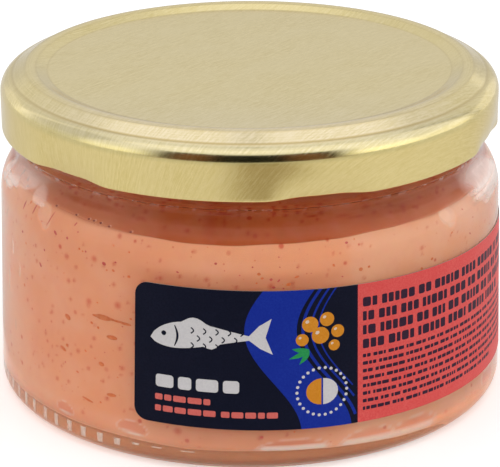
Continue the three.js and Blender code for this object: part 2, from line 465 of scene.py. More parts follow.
def lid_material():
    """Gold-lacquered tinplate with the rolling grain of the flat sheet it was pressed from.

    Zones are told by the distance from the middle over the flat sheet, in millimetres.
    """
    m = Shader("gold_tinplate")
    sheet = m.add("TexCoord", output="UV")
    streaks = m.noise(m.scaled(sheet, (0.22, 3.6, 1)), 1.0, 4.0, 0.65)
    mottle = m.noise(m.scaled(sheet, (0.9, 2.4, 1)), 1.0, 3.0, 0.6)
    broad = m.noise(m.scaled(sheet, (0.05, 0.12, 1)), 1.0, 2.0)
    middle = m.length(sheet)
    rings = m.noise(m.add("CombineXYZ", inputs={0: middle}), 2.6, 2.0, 0.6)
    crest, shoulder = m.window(middle, 35.5, 37.5, 43.0, 44.6), m.window(middle, 41.4, 42.2, 44.6, 45.6)
    front = m.span(m.axis(m.where(), 1), -0.010, -0.040)
    grain = m.calc("ADD", m.times(streaks, 0.65), m.times(mottle, 0.35))
    grain = m.calc("ADD", grain, m.times(m.calc("SUBTRACT", rings, 0.5), crest, 0.35))
    base = m.mix(m.span(grain, 0.36, 0.64), (0.745, 0.615, 0.275), (0.875, 0.75, 0.41))
    base = m.mix(m.span(broad, 0.35, 0.65, 0.0, 0.35), base, (0.85, 0.73, 0.41))
    # The skirt a deeper gold all round. At the front: painted highlights, paler and bluer, on the crest; a
    # bluer painted reflection on its inner slope and the panel; a darker painted reflection on the shoulder
    for zone, tint in ((m.span(middle, 43.2, 45.6), (1.0, 0.965, 0.82)),
                       (m.times(front, crest), (1.03, 1.04, 1.30)),
                       (m.times(front, m.span(middle, 36.0, 34.8)), (0.98, 1.0, 1.15)),
                       (m.times(front, shoulder), (0.83, 0.85, 0.80))):
        base = m.mix(zone, base, tint, "MULTIPLY")
    # Painted shade in the creases, stronger at the front
    fold = m.times(m.mark("fold"), m.calc("ADD", m.times(front, 0.45), 0.40))
    base = m.mix(fold, base, (0.56, 0.43, 0.19))
    m.surface(Base_Color=base, Metallic=1.0, Roughness=m.span(grain, 0.35, 0.65, 0.14, 0.22),
              Normal=m.bump(grain, 0.10, 0.02), Specular_Tint=(0.92, 0.89, 0.85),
              Coat_Weight=0.15, Coat_Roughness=0.12)
    return m.made


def ink_material(name, shade, light):
    """Printed satin paper: a fine grain of the paper shows through the ink."""
    m = Shader(name)
    grain = m.span(m.noise(m.where(), 3200, 3.0, 0.7), 0.3, 0.7)
    wash = m.span(m.noise(m.where(), 260, 2.0), 0.3, 0.7, 0.0, 0.4)
    base = m.mix(wash, m.mix(grain, shade, light), shade)
    m.surface(Base_Color=base, Roughness=0.42, Normal=m.bump(grain, 0.12, 0.02), Specular_IOR_Level=0.08)
    return m.made


# Jar glass

def glass_profile():
    neck_inside = NECK_RADIUS - NECK_WALL
    lip_z = LIP_TOP_Z - LIP_ROUND
    hollow = [(PUSH_UP_RADIUS * i / 8, dome(PUSH_UP_RIM, PUSH_UP - PUSH_UP_RIM, i / 8))
              for i in range(9)]
    under = fillet(hollow[-2:] + [(RING_INNER_RADIUS, 0.0), (RING_OUTER_RADIUS, 0.0)], 0.5)
    heel = arc((BASE_RADIUS - HEEL_RADIUS, HEEL_RADIUS), HEEL_RADIUS, -90, 0, 18)
    shoulder = arc(SHOULDER_CENTRE, SHOULDER_ARC, 0, SHOULDER_SWEEP, 16)
    collar = fillet([shoulder[-1], (COLLAR_RADIUS, COLLAR_FOOT_Z + 0.4),
                     (COLLAR_RADIUS, COLLAR_TOP_Z)], 1.6, 8)
    collar += fillet([(COLLAR_RADIUS, COLLAR_TOP_Z - 0.3), (COLLAR_RADIUS, COLLAR_TOP_Z + 0.1),
                      (NECK_RADIUS, COLLAR_TOP_Z + 0.35), (NECK_RADIUS, lip_z)], 0.3)[1:]
    lip = (arc((NECK_RADIUS - LIP_ROUND, lip_z), LIP_ROUND, 0, 90, 5)
           + arc((neck_inside + LIP_ROUND, lip_z), LIP_ROUND, 90, 180, 5))
    inside = ([(neck_inside, COLLAR_FOOT_Z)]
              + arc(SHOULDER_CENTRE, SHOULDER_ARC - WALL, SHOULDER_SWEEP, 0, 14)
              + arc(FLOOR_CENTRE, FLOOR_ROUND, 0, -90, 10)
              + floor_profile(8)[::-1])
    outside = hollow[:-1] + under[1:] + heel + dense([heel[-1], shoulder[0]], 1.6)[1:]
    return outside + shoulder[1:] + collar[1:-1] + lip + fillet(inside[:3], 0.8)[:-1] + inside[2:]


def make_glass():
    profile = np.array(glass_profile())
    steps = KNURLS * 6
    azimuths = np.arange(steps) * 360 / steps
    round_jar = azimuths[:, None]
    radii, heights = (np.tile(profile[:, i], (steps, 1)) for i in (0, 1))
    # The outside ends just under the round of the lip
    outer = np.arange(len(profile)) < np.argmax(profile[:, 1]) - 4
    # Knurls: short ribs round the heel, which keep the jar from sliding
    knurled = window(radii, 39.6, 40.6, 42.2, 42.9) * smooth(heights, 2.1, 0.9) * outer
    rib = 0.5 + 0.5 * np.cos(np.radians(round_jar * KNURLS))
    cut = KNURL_DEPTH * knurled * rib ** 0.7
    radii = radii - cut * smooth(heights, 0.0, 0.8)
    heights = heights + cut * smooth(heights, 1.2, 0.2)
    # Ripples: moulded glass is never quite true
    a = np.radians(round_jar)
    ripple = (np.sin(9 * a + heights / 9) + 0.7 * np.sin(17 * a - heights / 6 + 1)
              + 0.5 * np.sin(31 * a + heights / 4 + 2)) * 0.008
    radii = radii + ripple * window(heights, 3, 9, 38, 43) * outer
    made = piece("clear_jar", *turned(azimuths, radii, heights), [glass_material()], "glass")
    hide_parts("jar_glass")


# Painted light: knurls that catch the light, as pale wedges in the glass: azimuth, width, height, top
KNURL_LIGHTS = (
    (-64.4, 1, 2.12, 4.42), (-60.3, 1.15, 2.19, 4.27), (-56.4, 1.15, 2.19, 4.12), (-51.8, 1.3, 2.19, 4.02),
    (-47.7, 1.3, 2.12, 3.92), (-43.3, 1.45, 2, 3.82), (-39.1, 1.5, 1.88, 3.72), (-34.4, 1.6, 1.69, 3.62),
    (-29.9, 1.7, 1.25, 3.52), (-25.4, 2, 0.35, 3.42), (-20.4, 2.6, 0.2, 3.37), (-13.5, 3.4, 0.14, 3.32),
)


def heel_radius(z):
    """Outer radius of the jar low down, over its rounded heel."""
    across = np.sqrt(np.maximum(HEEL_RADIUS ** 2 - np.maximum(HEEL_RADIUS - z, 0) ** 2, 0))
    return BASE_RADIUS - HEEL_RADIUS + across


def make_knurl_lights():
    """Painted light: pale wedges just under the glass that stand for the floor seen through the knurls."""
    across, up = 5, 6
    row, layer = across + 1, (across + 1) * (up + 1)
    rim = (list(range(row)) + [j * row + across for j in range(1, up + 1)]
           + [up * row + i for i in range(across - 1, -1, -1)] + [j * row for j in range(up - 1, 0, -1)])
    wedge = grid(up + 1, row)
    wedge += [(a + layer, d + layer, c + layer, b + layer) for a, b, c, d in wedge]
    wedge += [(a, b, b + layer, a + layer) for a, b in zip(rim, rim[1:] + rim[:1])]
    down, aside = np.arange(up + 1)[:, None] / up, 2 * np.arange(row) / across - 1
    vertices, faces = [], []
    behind = tuple((-68.6 - 4.2 * i, 1.1, 2.0, 4.4) for i in range(44))
    for azimuth, width, height, top in KNURL_LIGHTS + behind:
        faces += [tuple(len(vertices) + i for i in face) for face in wedge]
        half = math.degrees(width / 2 / BASE_RADIUS) * (0.8 - 0.2 * down)
        z = top - height * down
        for deep in (0.10, 0.22):
            vertices += list(place(azimuth + half * aside, heel_radius(z) - deep, z).reshape(-1, 3))
    light = film_material("knurl_light", (700, 2.0), 0.55, 0.25, 1500,
                          ((0.84, 0.70, 0.61), (0.94, 0.83, 0.75)), share=None)
    piece("knurl_lights", vertices, faces, [light], "glass")


def make_heel_refraction():
    """Painted refraction: the spread's warm colour seen through the heel, as a film just under its surface.
    """
    levels = np.concatenate([np.arange(0.3, 1.2, 0.12), np.arange(1.2, 4.8, 0.2)])
    around, heights = np.meshgrid(np.arange(0, 360, 1.5), levels, indexing="ij")
    vertices = place(around, heel_radius(heights) - 0.3, heights).reshape(-1, 3)
    aside = wrapped(around)
    upper, to_side = smooth(heights, 1.9, 2.7), smooth(np.abs(aside), 14, 48)
    share = (0.16 + 0.12 * to_side + 0.07 * smooth(-aside, 20, 55)) * (upper + (1 - upper) * to_side)
    share = share * window(heights, 0.3, 0.7, 3.3, 4.7)
    # Warm colours of the painted refraction, stronger at the sides and higher up
    tint = film_material("heel_refraction", (240, 3.0, 0.6), 0.8, 1.1, 420,
                         ((0.92, 0.35, 0.15), (0.97, 0.41, 0.19)))
    piece("heel_refraction", vertices, grid(*around.shape, closed=True), [tint], "glass",
          marks={"share": share.ravel()})


# Painted white reflections and highlights in the glass: azimuth, height, half length, half height, tilt,
# share
GLASS_REFLECTIONS = (
    (-66.0, 41.9, 9.0, 1.9, 9, 0.30), (-72.5, 39.9, 5.0, 1.7, 14, 0.46), (-57.0, 41.0, 3.0, 1.8, -30, 0.24),
    (-80.0, 40.6, 3.4, 2.2, 60, 0.40), (73.0, 40.5, 11.5, 4.2, -9, 0.61), (-67.3, 29.4, 0.4, 1.8, 3, 0.26),
    (-62.9, 26.1, 0.35, 1.5, -4, 0.22), (-70.5, 23.0, 0.4, 2.8, 2, 0.24), (-66.0, 15.5, 0.35, 1.4, 5, 0.16),
    (-72.5, 34.0, 0.4, 1.2, -3, 0.20), (-63.5, 5.2, 1.1, 0.3, 10, 0.35), (-58.5, 4.8, 0.9, 0.25, 6, 0.30),
)


def reflection_share(azimuths, heights):
    """How much painted reflection the glass shows at each place, with ragged edges."""
    ragged = sum(size * np.sin(np.radians(azimuths * turns) + heights * climb)
                 for size, turns, climb in ((0.10, 13, 1.1), (0.05, 29, -1.7), (0.03, 61, 2.6)))
    share = np.zeros_like(ragged)
    for azimuth, z, half_length, half_height, tilt, strength in GLASS_REFLECTIONS:
        across, up = np.radians(azimuths - azimuth) * TOP_RADIUS * 0.97, heights - z
        x, y = rotated(across, up, -tilt)
        soft = smooth(up / half_height, -0.6, 0.7)
        rim = np.hypot(x / half_length, y / half_height) + ragged * (1 - 0.6 * soft)
        share = np.maximum(share, strength * smooth(rim, 1.12, 0.7 - 0.6 * soft))
    return share


def make_glass_reflections():
    """Painted soft white reflections, as a film in the glass that also glows a little."""
    # The radius at a height is read between the points of the glass near its wall
    near_wall = RING_INNER_RADIUS + 0.8
    wall = sorted((z, r) for r, z in glass_profile() if r > near_wall and z < COLLAR_TOP_Z)
    levels, radii = zip(*wall)
    vertices, faces, shares = [], [], []
    for low, high in ((-86, -28), (28, 88)):
        azimuths, heights = np.meshgrid(np.arange(low, high, 0.5), np.arange(1.6, 44.2, 0.25), indexing="ij")
        share = reflection_share(azimuths, heights)
        shown = np.maximum.reduce([share[:-1, :-1], share[1:, :-1], share[1:, 1:], share[:-1, 1:]]) > 0.004
        quads = grid(*share.shape, start=len(vertices))
        faces += [quad for quad, kept in zip(quads, shown.ravel()) if kept]
        vertices += list(place(azimuths, np.interp(heights, levels, radii) - 0.08, heights).reshape(-1, 3))
        shares += list(share.ravel())
    used, faces = compact(faces)
    # A little glow and shine: painted light of the reflections
    lit = {"Metallic": 0.5, "Roughness": 0.6, "Emission Color": (1.0, 0.88, 0.82), "Emission Strength": 0.24}
    reflection_film = film_material("glass_reflections", (260, 3.0, 0.6), 0.75, 1.0, 500,
                         ((0.93, 0.82, 0.77), (0.98, 0.91, 0.87)), lit=lit)
    piece("glass_reflections", [vertices[i] for i in used], faces, [reflection_film], "glass",
          marks={"share": [shares[i] for i in used]})


# Spread

def along_wall(z):
    """Distance up the inside of the jar from the foot of its straight wall."""
    z = np.asarray(z, float)
    low = FLOOR_ROUND * np.arcsin(np.clip((WALL_FOOT_Z - z) / FLOOR_ROUND, 0, 1))
    reach = SHOULDER_ARC - WALL
    high = reach * np.arcsin(np.clip((z - SHOULDER_Z) / reach, 0, 1))
    return np.where(z < WALL_FOOT_Z, -low, np.minimum(z, SHOULDER_Z) - WALL_FOOT_Z + high)


def inside_point(distance):
    """Radius, height and outward direction (radial, upward) of the inside at that distance."""
    straight = SHOULDER_Z - WALL_FOOT_Z
    if 0 <= distance < straight:
        z = WALL_FOOT_Z + distance
        return wall_radius(z) - WALL, z, 1.0, 0.0
    centre, reach, along = FLOOR_CENTRE, FLOOR_ROUND, distance
    if distance > 0:
        centre, reach, along = SHOULDER_CENTRE, SHOULDER_ARC - WALL, distance - straight
    out, up = math.cos(along / reach), math.sin(along / reach)
    return centre[0] + reach * out, centre[1] + reach * up, out, up


# Air pockets behind the shoulder: azimuth, height, half length, half height, tilt, depth
HIGH_POCKETS = (
    (-54.4, 37.7, 2.1, 1.7, 0, 0.45), (-53.2, 36.6, 1.3, 1.3, 0, 0.45), (51.2, 37.6, 2.4, 1.5, -25, 0.45),
    (52.0, 37.0, 1.4, 1.4, 0, 0.4), (-140.0, 37.2, 2.2, 1.6, 10, 0.4),
)

# Shallow air pockets low down: azimuth, height, half length, half height, tilt, painted highlight
# on the lower part, and whether that part ends at one level all round
LOW_POCKETS = (
    (-46.3, 4.9, 2.0, 1.35, -6, 0.8, False), (-27.1, 5.2, 2.85, 1.4, -4, 0.7, False),
    (9.6, 3.4, 6.1, 2.0, 0, 0.85, True), (27.0, 3.3, 5.2, 2.35, 2, 0.85, True),
    (38.6, 3.5, 5.4, 1.75, 4, 0.85, True), (70.0, 4.4, 3.0, 1.2, 0, 0.3, True),
    (-96.0, 4.2, 3.4, 1.7, 0, 0.4, True), (118.0, 3.9, 4.2, 1.9, 0, 0.4, True),
    (160.0, 4.3, 3.0, 1.7, 10, 0.4, True), (-150.0, 3.6, 5.0, 1.9, 0, 0.4, True),
)

# How much lower the spread's foot reaches: azimuth, depth
FLOOR_SINK = ((-30, 0.0), (-15, 0.35), (0, 0.15), (14, 0.45), (28, 0.9), (36, 1.3), (47, 1.65),
              (58, 2.1), (85, 2.1), (105, 1.2), (135, 0.0))

# Soft dark grains just under the surface: azimuth, height, size
GRAINS = (
    (-45.2, 32.5, 0.75), (-36.8, 33.6, 0.8), (-42.2, 31.2, 0.5), (-56.5, 29.2, 0.55),
    (-56.9, 31.8, 0.5), (-31.4, 33.6, 0.5), (-31.5, 30.0, 0.55), (-44.6, 28.3, 0.6),
    (-42.9, 28.7, 0.5), (-38.4, 25.9, 0.8), (-58.6, 25.8, 0.5), (-44.0, 25.2, 0.5),
    (-46.5, 20.6, 0.5), (-41.8, 16.4, 0.6), (-46.6, 17.5, 0.5), (-38.7, 13.9, 0.55),
    (-44.9, 10.2, 0.5), (-40.5, 5.6, 0.6), (-33.5, 9.5, 0.6), (-48.8, 9.8, 0.6),
    (-30.5, 26.5, 0.9), (-16.1, 6.1, 0.95), (-20.0, 32.5, 0.6), (-15.5, 33.2, 0.5),
    (-9.5, 33.0, 0.6), (-3.0, 31.9, 0.5), (4.5, 32.0, 0.7), (9.2, 32.3, 0.6),
    (2.1, 5.6, 0.7), (8.0, 6.0, 0.45), (41.5, 34.5, 0.6), (-24.0, 31.2, 0.7),
    (-50.5, 21.5, 0.55), (-53.0, 17.0, 0.5), (-52.0, 13.2, 0.45), (-37.0, 19.6, 0.55),
    (-34.6, 12.4, 0.5), (-29.5, 15.6, 0.6), (-30.0, 19.0, 0.5), (-61.0, 21.0, 0.5),
)

# Grains and short streaks in the film above the level: azimuth, height, half length, half height,
# strength
FILM_GRAINS = (
    (-49.5, 42.9, 0.7, 0.6, 0.55), (-47.0, 42.2, 0.6, 0.5, 0.5), (-43.5, 43.4, 0.6, 0.5, 0.5),
    (-41.8, 42.5, 0.55, 0.5, 0.45), (-36.2, 43.0, 0.8, 0.7, 0.5), (-33.8, 42.2, 0.7, 0.6, 0.4),
    (-25.6, 42.0, 0.6, 0.55, 0.4), (-21.4, 42.6, 0.55, 0.5, 0.4), (-27.0, 40.7, 0.5, 0.5, 0.35),
    (-15.2, 43.7, 1.9, 0.22, 0.6), (-6.4, 42.9, 2.2, 0.2, 0.65), (-4.6, 43.1, 1.1, 0.16, 0.6),
    (-9.4, 41.2, 1.6, 2.6, 0.22), (-6.0, 41.4, 0.5, 1.3, 0.3), (5.6, 42.8, 0.5, 0.7, 0.5),
    (8.5, 42.6, 0.7, 0.5, 0.5), (11.6, 42.9, 0.8, 0.4, 0.45), (13.4, 42.6, 0.5, 0.4, 0.45),
    (14.9, 42.1, 1.4, 0.22, 0.5), (17.2, 42.5, 0.8, 0.6, 0.4), (22.5, 41.6, 1.5, 0.25, 0.4),
    (26.5, 41.0, 1.2, 0.3, 0.5), (29.0, 42.5, 1.0, 0.6, 0.35), (35.6, 41.8, 0.6, 0.5, 0.4),
    (39.0, 40.9, 0.7, 0.6, 0.45), (45.0, 41.6, 0.6, 0.6, 0.35), (52.0, 41.9, 0.7, 0.6, 0.35),
)


def blotch(azimuths, distances, azimuth, z, half_length, half_height, tilt=0):
    """How far out each place is in an oval on the wall, where 1 is its rim, and how far up in it."""
    across = np.radians(wrapped(azimuths - azimuth)) * (TOP_RADIUS - WALL)
    x, y = rotated(across, distances - along_wall(z), -tilt)
    return np.hypot(x / half_length, y / half_height), y / half_height


def fill_edge(azimuths):
    """Height at which the spread's top meets the glass."""
    waves = ((0.7, 2, -100), (0.3, 5, -25), (0.12, 13, 20), (0.08, 29, 0))
    ripple = sum(size * np.sin(np.radians(turns * azimuths + shift)) for size, turns, shift in waves)
    return FILL_LEVEL + FILL_WAVE * ripple


def film_radius(z):
    """Radius of the jar's inside from the shoulder up into the neck."""
    reach = SHOULDER_ARC - WALL
    turn = math.radians(SHOULDER_SWEEP)
    end_r, end_z = SHOULDER_CENTRE[0] + reach * math.cos(turn), SHOULDER_Z + reach * math.sin(turn)
    neck = NECK_RADIUS - NECK_WALL
    on_arc = SHOULDER_CENTRE[0] + np.sqrt(np.maximum(reach ** 2 - (z - SHOULDER_Z) ** 2, 0))
    on_slope = end_r + (neck - end_r) * (z - end_z) / (COLLAR_FOOT_Z - end_z)
    return np.where(z < end_z, on_arc, np.maximum(on_slope, neck))


def film_shade_share(azimuths, heights, edge):
    """How much painted shade the spread takes: 1 in the thin film above the level, under the lid, near 0
    below it.
    """
    aside, on_left = np.abs(azimuths), azimuths < 0
    soft = 0.07 + 0.5 * smooth(azimuths, -20, -42) + 0.45 * smooth(azimuths, 32, 52)
    above = smooth(heights, edge - soft, edge + soft)
    # The painted shade is lighter towards the sides, more on the left
    depth = 1.0 - np.where(on_left, 0.22, 0.12) * smooth(aside, 10, 45)
    depth = depth - np.where(on_left, 0.33, 0.05) * smooth(aside, 45, 66)
    # A fine darker line runs through the film's painted shade on each side
    left_line = window(azimuths, -54, -46, -38, -28) * smooth(np.abs(heights - 41.2), 0.9, 0.1)
    right_line = window(azimuths, 17, 25, 46, 56) * smooth(np.abs(heights - 40.9), 1.1, 0.2)
    depth = depth + 0.24 * left_line + 0.28 * right_line
    depth = depth + 0.05 * np.sin(np.radians(azimuths * 23)) * np.sin(np.radians(azimuths * 9 + 50))
    # Below the level: a painted shadow of the label, at the front from just over the label downwards; and a
    # slightly deeper tone at the left
    over_label = smooth(heights, 34.9, 32.6) * smooth(np.abs(azimuths + 2), 30, 14)
    warmer = window(azimuths, -75, -55, -28, -12)
    return np.clip(above * depth + (1 - above) * (0.32 * over_label + 0.08 * warmer), 0, 1)


def wall_marks(azimuths, distances):
    """How deep the spread lies behind the glass, how stained by grains and painted pocket shade, and how
    pale.
    """
    depth, stain, pale = (np.zeros_like(distances) for _ in range(3))
    for *oval_at, deep in HIGH_POCKETS:
        rim, _ = blotch(azimuths, distances, *oval_at)
        depth = np.maximum(depth, deep * smooth(rim, 1.0, 0.55))
    level_band = smooth(distances, along_wall(4.25), along_wall(3.65))
    for *oval_at, lower_highlight, level in LOW_POCKETS:
        rim, up = blotch(azimuths, distances, *oval_at)
        inside = smooth(rim, 1.0, 0.8)
        low = inside * (level_band if level else smooth(up, -0.3, -0.7))
        depth = np.maximum(depth, 0.05 * inside)
        # Painted shade inside each low pocket, and painted highlights at its rim and on its lower part
        stain = np.maximum(stain, 0.30 * inside * (1 - low))
        edge = window(rim, 0.88, 0.97, 1.0, 1.08)
        pale = np.maximum.reduce([pale, 0.32 * edge, lower_highlight * low])
    grains = [(0.7, azimuth, z, size, size) for azimuth, z, size in GRAINS]
    grains += [(0.55, chance.uniform(-180, 180), chance.uniform(6.5, 37.5), chance.uniform(0.26, 0.52),
                chance.uniform(0.26, 0.52)) for _ in range(SOFT_GRAINS)]
    for strength, *oval_at in grains:
        rim, _ = blotch(azimuths, distances, *oval_at)
        stain = np.maximum(stain, strength * smooth(rim, 1.05, 0.1))
    return depth, stain, pale


def film_stain(azimuths, heights):
    """How stained the film above the level is by grains and short streaks."""
    spots = [(chance.uniform(-180, 180), chance.uniform(39.5, 44.5), chance.uniform(0.25, 0.5),
              chance.uniform(0.25, 0.45), chance.uniform(0.3, 0.6)) for _ in range(FILM_SPOTS)]
    stain = np.zeros_like(heights)
    for azimuth, z, half_length, half_height, share in list(FILM_GRAINS) + spots:
        across = np.radians(wrapped(azimuths - azimuth)) * NECK_RADIUS
        rim = np.hypot(across / half_length, (heights - z) / half_height)
        stain = np.maximum(stain, min(1.5 * share, 0.9) * smooth(rim, 1.1, 0.2))
    return stain


def heaped_top(azimuths, radii, rings, edge_z):
    """Heights of the spread's top, in soft heaps, climbing to the glass at its edge."""
    x, y = radii * np.sin(np.radians(azimuths)), -radii * np.cos(np.radians(azimuths))
    heap = (0.30 * np.sin(x / 4.3 + 1) * np.sin(y / 5.1) + 0.16 * np.sin(x / 2.1 - y / 2.7)
            + 0.10 * np.sin(x / 1.3 + 2) * np.sin(y / 1.1))
    mean = FILL_LEVEL + FILL_WAVE * (1 - rings) + heap * smooth(rings, 0.99, 0.9)
    climb = smooth(rings, 0.93, 1.0)
    return mean * (1 - climb) + edge_z * climb


def make_spread():
    azimuths = np.concatenate([np.arange(-80, 80, 0.5), np.arange(80, 280, 1.25)])
    round_jar, aside = azimuths[:, None], wrapped(azimuths[:, None])
    edge_z = fill_edge(round_jar)
    # The wall, by distance up the inside of the jar
    straight = SHOULDER_Z - WALL_FOOT_Z
    foot = np.linspace(-FLOOR_ROUND * math.pi / 2, 0, 13)[:-1]
    lower = np.concatenate([foot, np.linspace(0, straight, 88)])
    share = 1 - (1 - np.linspace(0, 1, 17)[1:]) ** 1.8
    upper = straight + share * (along_wall(edge_z) - straight)
    distances = np.hstack([np.tile(lower, (len(azimuths), 1)), upper])
    flat = np.array([inside_point(d) for d in distances.ravel()]).reshape(distances.shape + (4,))
    depth, stain, pale = wall_marks(round_jar, distances)
    swell = 0.02 * (np.sin(np.radians(round_jar * 7) + distances) + np.sin(distances * 0.7))
    sink, slant = np.interp(aside, *zip(*FLOOR_SINK)), np.degrees(-distances / FLOOR_ROUND)
    out = REACH - depth + swell + sink * window(slant, 8, 46, 56, 88)
    wall_r, wall_z = (flat[..., i] + flat[..., i + 2] * out for i in (0, 1))
    # Painted light: the spread paler under the white reflection on the right, and low down near the floor
    painted_light = 0.16 * window(round_jar, 38, 62, 84, 100) * smooth(wall_z, 33, 36.5)
    painted_light = painted_light + 0.07 * smooth(wall_z, 7.6, 6.0) * smooth(np.abs(aside), 75, 50)
    # A film of the spread stays on the glass above the level; it and the top take painted shade from the lid
    outer_z = edge_z + (FILM_TOP_Z - edge_z) * np.linspace(0, 1, 29)[1:] ** 1.5
    back_z = edge_z + (FILM_TOP_Z - edge_z) * np.linspace(1, 0, 9)
    film_r = np.hstack([film_radius(outer_z) + REACH, film_radius(back_z) - FILM_THICKNESS])
    rings = np.concatenate([[0.995, 0.985, 0.97], np.linspace(0.95, 0.04, 40)])
    top_r = wall_r[:, -1:] * rings
    top_z = heaped_top(round_jar, top_r, rings, wall_z[:, -1:] - 0.12)
    top_r = np.minimum(top_r, film_r[:, -1:] - 0.05)
    floor_r, floor_z = (np.tile(row, (len(azimuths), 1)) for row in zip(*floor_profile(8, REACH)))
    middle = np.zeros((len(azimuths), 1))
    radii = np.hstack([floor_r, wall_r, film_r, top_r, middle])
    heights = np.hstack([floor_z, wall_z, outer_z, back_z, top_z, middle + FILL_LEVEL + FILL_WAVE])
    first, last = floor_r.shape[1], floor_r.shape[1] + wall_r.shape[1] + film_r.shape[1]

    def marked(values, top=0.0):
        """Values from the wall's foot up, nothing on the floor, and one value on the top."""
        made = np.zeros_like(radii)
        made[:, last:] = top
        made[:, first:first + values.shape[1]] = values
        return on_skin(made)

    marks = {"grain": marked(np.hstack([stain, film_stain(round_jar, outer_z)])),
             "pale": marked(np.maximum(pale, painted_light)),
             "film": marked(film_shade_share(round_jar, heights[:, first:last], edge_z), 1.0)}
    made = piece("roe_cream", *turned(azimuths, radii, heights), [spread_material()], "spread", marks=marks)
    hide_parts("roe_spread")


# Drops and grains at the glass: azimuth, height, length, width, tilt
OIL_DROPS = (
    (-34.4, 23.75, 3, 1.1, 0), (-36.2, 23.75, 1.9, 0.5, 2), (-32.7, 23.8, 2.6, 0.6, -4),
    (-30.5, 23.7, 2.6, 0.5, -2), (-28.5, 23.55, 2.2, 0.55, -4), (-32.1, 20.6, 2.1, 0.75, 1),
    (-46.6, 15.8, 1.5, 0.7, -19), (-35, 15.4, 1.1, 0.75, -6), (-32.3, 10.3, 1.9, 0.7, 5),
    (-39, 8.2, 2.4, 0.45, -11), (-45, 21.8, 1.35, 0.95, -26), (-27.5, 36, 0.6, 0.5, -1),
    (-31.6, 36.5, 0.6, 0.35, -31), (-31.6, 32.4, 0.55, 0.4, -21), (-27.6, 31.9, 0.6, 0.5, -1),
    (-27.2, 24.6, 0.6, 0.4, 0), (-60.9, 37.9, 0.6, 0.35, 60), (-42, 12.6, 0.6, 0.3, -11),
    (-39.5, 16.9, 0.6, 0.4, -31), (-36, 26.1, 0.5, 0.3, 0), (2.6, 33.4, 0.55, 0.45, 0),
    (8.4, 32.2, 0.9, 0.6, 10), (10.2, 33.4, 0.8, 0.4, 20), (9.6, 6.4, 0.5, 0.4, 0),
    (1.4, 32.6, 0.4, 0.3, 30), (27, 33.6, 0.5, 0.4, 0),
)
RED_GRAINS = (
    (-34.1, 33.2, 0.75, 0.62, -20), (-63.2, 37.1, 1.5, 0.34, 75), (-58.4, 37.5, 1.9, 0.30, 70),
    (-51.6, 37.3, 3.0, 0.16, 62), (-49.1, 35.7, 0.9, 0.5, -30), (-43.1, 37.9, 0.8, 0.25, 55),
    (-54.9, 28.9, 0.9, 0.5, -50), (-31.0, 33.9, 0.4, 0.3, 0), (-34.0, 17.6, 0.6, 0.5, -20),
    (-16.0, 33.9, 0.7, 0.4, -20), (6.2, 32.9, 0.6, 0.3, 50), (5.1, 31.8, 0.6, 0.4, 0),
    (-41.9, 37.0, 0.35, 0.3, 0), (-21.5, 34.8, 0.4, 0.3, 0), (2.4, 5.7, 0.6, 0.5, 0),
)
BUBBLES = ((-43.9, 39.0), (-39.9, 39.0), (-38.3, 39.0), (-36.3, 38.95), (-33.8, 38.8),
           (-27.9, 38.7), (-51.2, 39.1))
LENS_SIDES = 14
# From the top ring down: share of the lens's size, and height by how proud it stands
LENS_RINGS = ((0.55, 0.85), (0.85, 0.5), (1.0, 0.0), (0.7, -2.0))


def lens(azimuth, z, length, width, tilt, proud):
    """Vertices of a small lens that lies on the spread, against the glass."""
    radius, height, radial, upward = inside_point(float(along_wall(z)))
    middle = place(azimuth, radius + radial * REACH, height + upward * REACH)
    out, side = place(azimuth, radial, upward), place(azimuth + 90, 1.0, 0.0)
    along, across = rotated(side, np.cross(out, side), -tilt)
    a = 2 * math.pi * np.arange(LENS_SIDES)[:, None] / LENS_SIDES
    flat = along * np.cos(a) * length / 2 + across * np.sin(a) * width / 2
    rings = [middle + flat * share + out * proud * lift for share, lift in LENS_RINGS]
    return np.vstack(rings + [middle + out * proud, middle - out * proud * 2.4])


def lens_faces():
    top = len(LENS_RINGS) * LENS_SIDES
    faces = []
    for i in range(LENS_SIDES):
        j = (i + 1) % LENS_SIDES
        faces += [(top, i, j), (top + 1, j + top - LENS_SIDES, i + top - LENS_SIDES)]
        faces += [(a + i, a + LENS_SIDES + i, a + LENS_SIDES + j, a + j)
                  for a in range(0, top - LENS_SIDES, LENS_SIDES)]
    return faces


def make_lenses(name, rows, material):
    vertices = np.vstack([lens(*row) for row in rows])
    each = len(vertices) // len(rows)
    faces = [tuple(number * each + i for i in face) for number in range(len(rows)) for face in lens_faces()]
    piece(name, vertices, faces, [material], "spread")


def scattered(count, small, large, squash):
    """Random grains over the wall, more of them just above the label."""
    rows = []
    while len(rows) < count:
        azimuth = chance.uniform(-180, 180)
        z = chance.uniform(6.5, 38.2)
        crowd = 0.45 + 0.55 * math.exp(-((z - 33) / 3) ** 2)
        if chance.random() > crowd:
            continue
        size = small + (large - small) * chance.random() ** 2.5
        rows.append((azimuth, z, size, size * chance.uniform(squash, 1),
                     chance.uniform(-60, 20), 0.03))
    return rows


